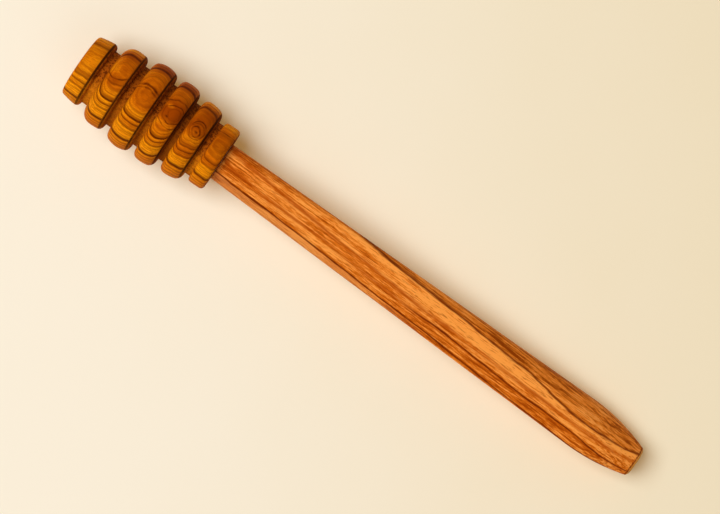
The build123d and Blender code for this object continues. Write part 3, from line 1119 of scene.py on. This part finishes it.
def orange_wood(space, parts, beyond, streak, fibre):
    """The orange wood between the lines, with a pale, pink painted sheen outside the edge line."""
    x = parts[0]
    broad = stretched_noise(space, 0.03, 0.6)
    fine = stretched_noise(space, 0.15, 2.9, detail=3.0, roughness=0.6, offset=6.0)
    towards_butt = smooth_step(x, 30.0, 70.0)
    tone = swing(broad, 0.6) + swing(streak, 0.7) + swing(fine, 1.1) + swing(fibre, 0.7) + 0.68
    # Painted light: the first millimetre at the joint is painted lighter, to soften the head's shadow on
    # it
    tone += smooth_step(x, 1.3, 0.5) * 0.5 - smooth_step(x, 16.0, 0.0) * 0.30
    tone += smooth_step(beyond["upper"], -0.4, 0.6) * towards_butt * 0.38
    tone -= smooth_step(beyond["lower"], 0.1, -0.5) * towards_butt * 0.17
    tone += hump(parts, *dull_belly)
    base = three_tones(tone, orange_deep, orange_mid, orange_light)
    # Painted sheen: the strip outside the edge line, near the head, is painted paler and pinker
    sheen_strip = smooth_step(beyond["edge"], 0.0, -0.3) * smooth_step(x, 70.0, 40.0)
    return colour_mix(sheen_strip * 0.5, base, painted_sheen_pink)


def heart_wood(space, parts, fibre):
    """The lighter, streaky wood beyond the heart line."""
    broad = stretched_noise(space, 0.05, 0.35, detail=1.0, offset=7.0)
    streak = stretched_noise(space, 0.12, 2.0, detail=3.0, roughness=0.6, offset=8.0)
    tone = swing(broad, 0.6) + swing(streak, 1.3) + swing(fibre, 0.6) + 0.55
    tone += hump(parts, *heart_streaks)
    return three_tones(tone, heart_deep, heart_mid, heart_light)


def handle_timber():
    """The handle's whole finish: two kinds of wood, then lines and pores, then the butt."""
    material = bpy.data.materials.new("orange_timber")
    tree = empty_tree(material)
    space = timber_space(tree, handle_axes)
    parts = split(space)
    beyond = beyond_lines(space, parts)
    streak = stretched_noise(space, 0.06, 1.8, offset=3.0)
    fibre = stretched_noise(space, 0.7, 5.0, detail=3.0, roughness=0.6, offset=1.0)
    pores = stretched_noise(space, 0.35, 4.5, detail=1.0, offset=5.0)

    base = orange_wood(space, parts, beyond, streak, fibre)
    in_heart = smooth_step(beyond["heart"], -0.05, 0.2)
    base = colour_mix(in_heart, base, heart_wood(space, parts, fibre))
    broken = calc("ADD", swing(streak, 1.4), 0.8, clamp=True)
    soft = most(line(beyond["upper"], 0.9, 0.6), line(beyond["lower"], 0.75, 0.55))
    base = colour_mix(soft * 0.9 * broken, base, streak_red)
    lines = dark_lines(parts[0], beyond, broken)
    base = colour_mix(lines, base, line_brown)
    base = colour_mix(smooth_step(pores, 0.58, 0.68) * 0.6, base, orange_deep)

    facing = end_grain(tree, handle_axes)
    base = colour_mix(smooth_step(facing, 0.45, 0.95) * 0.5, base, heart_mid)
    past_edge = smooth_step(parts[0], edge_at - 0.08, edge_at + 0.05)
    base = colour_mix(past_edge * smooth_step(facing, 0.97, 0.85) * 0.85, base, butt_gold)

    relief = fibre - lines * 0.4
    surface(tree, base, spread(fibre, 0.40, 0.62), relief, strength=0.4, depth=0.08 * mm,
            shine=0.02, tint=(1.0, 0.75, 0.45))
    return material


orange_timber = handle_timber()
print(len(orange_timber.node_tree.nodes), "nodes in the orange timber")

# %% [markdown]
# ## Putting the two timbers in place
#
# Each finished mesh becomes an object at the origin, rides on the model's one body, and stands for
# the solid of the same piece, which then stays hidden.


# %% Head and handle
def place_piece(mesh, name, node, material):
    """Make a finished mesh the visible piece for one solid."""
    mesh.materials.clear()
    mesh.materials.append(material)
    piece = put_in_scene(name, mesh)
    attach(piece, "root")
    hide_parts(node)
    print(f"{name}: {len(mesh.polygons)} faces")


head_mesh = turn_head(golden_timber)
place_piece(head_mesh, "dipper_head", "head", golden_timber)
place_piece(handle_mesh, "dipper_handle", "handle", orange_timber)

# %% [markdown]
# ## The dowel and the glue
#
# Nothing shows of these while the dipper is whole, but they are real pieces of it. The solids have
# the right form already, so they stay and only get a finish: pale beech with fine rays, and set wood
# glue, which is a cream-coloured, slightly clear film.


# %% Finishes for the hidden pieces
def plain_finish(name, light, dark, along, across, roughness):
    """A quiet finish: two tones in a stretched noise, with a touch of relief."""
    material = bpy.data.materials.new(name)
    tree = empty_tree(material)
    grain = stretched_noise(timber_space(tree, head_axes), along, across, detail=3.0)
    base = colour_mix(smooth_step(grain, 0.35, 0.7), light, dark)
    surface(tree, base, roughness, grain, strength=0.2, depth=0.05 * mm)
    return material


beech = plain_finish("pale_beech", light=(0.72, 0.53, 0.33), dark=(0.55, 0.36, 0.20),
                     along=0.6, across=5.0, roughness=0.7)
set_glue = plain_finish("set_glue", light=(0.80, 0.70, 0.45), dark=(0.70, 0.55, 0.28),
                        along=1.0, across=1.0, roughness=0.35)
for node_name, finish in (("joint_dowel", beech), ("glue_film", set_glue)):
    solid = frame["nodes"][node_name]
    solid.data.materials.clear()
    solid.data.materials.append(finish)
    print(node_name, "gets", finish.name)

# %% [markdown]
# ## The table
#
# The dipper lies on a pale cream surface that darkens a little towards one side. The floor is a
# plain sheet under the object, and its colour drifts slowly from light to dark across it: a painted
# fall-off of the lamps' light. A small part of what the camera sees of the table is a painted glow
# of a deeper, warmer tint, which lifts and warms the shadows on it. The rest of the colour makes up
# for it, and the open table keeps its tone.

# %% Floor
floor_size = 3.0
floor_light = (0.992, 0.895, 0.735)
floor_dark = (0.925, 0.795, 0.560)
# Where the drift from light to dark begins and ends, in metres to the right, and how it tips upwards
drift_start = -0.10
drift_end = 0.14
drift_tip = 0.05
blotch_scale = 22.0
blotch_reach = 0.025
shadow_lift = 0.22
shadow_tint = (1.0, 0.60, 0.10)


def table_tones(colour):
    """The table's colour under the lamps, and its painted glow, which lifts and warms its shadows."""
    glow = [c * tint for c, tint in zip(colour, shadow_tint)]
    lit = [(c - shadow_lift * g) / (1.0 - shadow_lift) for c, g in zip(colour, glow)]
    return lit, glow


def table_finish():
    """Cream that drifts from light to dark as painted fall-off, lit by the lamps and with a little painted
    glow.
    """
    material = bpy.data.materials.new("cream_table")
    tree = empty_tree(material)
    here = read(tree, "ShaderNodeTexCoord", output="Object")
    inputs = {"Vector": here, "Rotation": (0, 0, -camera_turn)}
    right, up, _ = split(read(tree, "ShaderNodeMapping", inputs, vector_type="POINT"))
    inputs = {"Vector": here, "Scale": blotch_scale, "Detail": 2.0}
    blotch = swing(read(tree, "ShaderNodeTexNoise", inputs), blotch_reach)
    # Painted light: the drift from light to dark stands in for the lamps' fall-off across the table
    place = smooth_step(right + up * drift_tip + blotch, drift_start, drift_end)
    light, dark = table_tones(floor_light), table_tones(floor_dark)
    lit_tone, glow_tone = (colour_mix(place, light[i], dark[i]) for i in range(2))
    lit = read(tree, "ShaderNodeBsdfDiffuse", {"Color": lit_tone})
    # Painted light: a glow seen only by the camera lifts and warms the table's shadows
    glow = read(tree, "ShaderNodeEmission", {"Color": glow_tone})
    share = read(tree, "ShaderNodeLightPath", output="Is Camera Ray") * shadow_lift
    both = read(tree, "ShaderNodeMixShader", {0: share, 1: lit, 2: glow})
    add(tree, "ShaderNodeOutputMaterial", {"Surface": both})
    return material


half_floor = floor_size / 2
floor_corners = [(-half_floor, -half_floor, 0), (half_floor, -half_floor, 0),
                 (half_floor, half_floor, 0), (-half_floor, half_floor, 0)]
floor_mesh = bpy.data.meshes.new("table")
floor_mesh.from_pydata(floor_corners, [], [(0, 1, 2, 3)])
floor_mesh.materials.append(table_finish())
floor = put_in_scene("table", floor_mesh)
print(f"a table {floor_size:.0f} m across")

# %% [markdown]
# ## Light
#
# One large soft lamp stands on the left, beyond the tip of the head and some twenty-five degrees
# from upright. It throws a soft shadow past the butt and along the upper side, and leaves the rear
# walls of the lobes dark. A weak second lamp stands below the picture and lights the lower side. A
# faintly warm, even world fills in the rest, and a low view sees it as a pale wall behind the table.

# %% Lamps and world
lamp_distance = 1.6
room_light = (1.0, 0.92, 0.80, 1.0)
room_strength = 0.15
wall_seen = (0.98, 0.90, 0.76, 1.0)
wall_strength = 0.95


def area_lamp(name, towards, tilt, size, strength):
    """A square lamp that looks at the origin, with its compass angle and its tilt from upright."""
    data = bpy.data.lights.new(name, "AREA")
    data.size = size
    data.energy = strength
    lamp = put_in_scene(name, data)
    flat = math.sin(tilt)
    direction = Vector((flat * math.cos(towards), flat * math.sin(towards), math.cos(tilt)))
    lamp.location = direction * lamp_distance
    lamp.rotation_euler = direction.to_track_quat("Z", "Y").to_euler()


def studio_world():
    """A dim, warm light from all round, which looks like a pale wall where it is seen."""
    world = bpy.data.worlds.new("studio")
    tree = empty_tree(world)
    rays = add(tree, "ShaderNodeLightPath").outputs
    kinds = ("Is Glossy Ray", "Is Transmission Ray", "Is Camera Ray")
    seen = most(*(Reading(tree, rays[kind]) for kind in kinds))
    dim = read(tree, "ShaderNodeBackground", {"Color": room_light, "Strength": room_strength})
    pale = read(tree, "ShaderNodeBackground", {"Color": wall_seen, "Strength": wall_strength})
    both = read(tree, "ShaderNodeMixShader", {0: seen, 1: dim, 2: pale})
    add(tree, "ShaderNodeOutputWorld", {"Surface": both})
    return world


to_the_left = camera_turn + math.pi - math.radians(16)
from_below = camera_turn - math.radians(75)
area_lamp("key", to_the_left, math.radians(24), size=1.0, strength=22.0)
area_lamp("fill", from_below, math.radians(38), size=1.2, strength=3.0)
scene.world = studio_world()
scene.view_settings.view_transform = "Standard"
print("lamps:", sorted(lamp.name for lamp in bpy.data.lights))
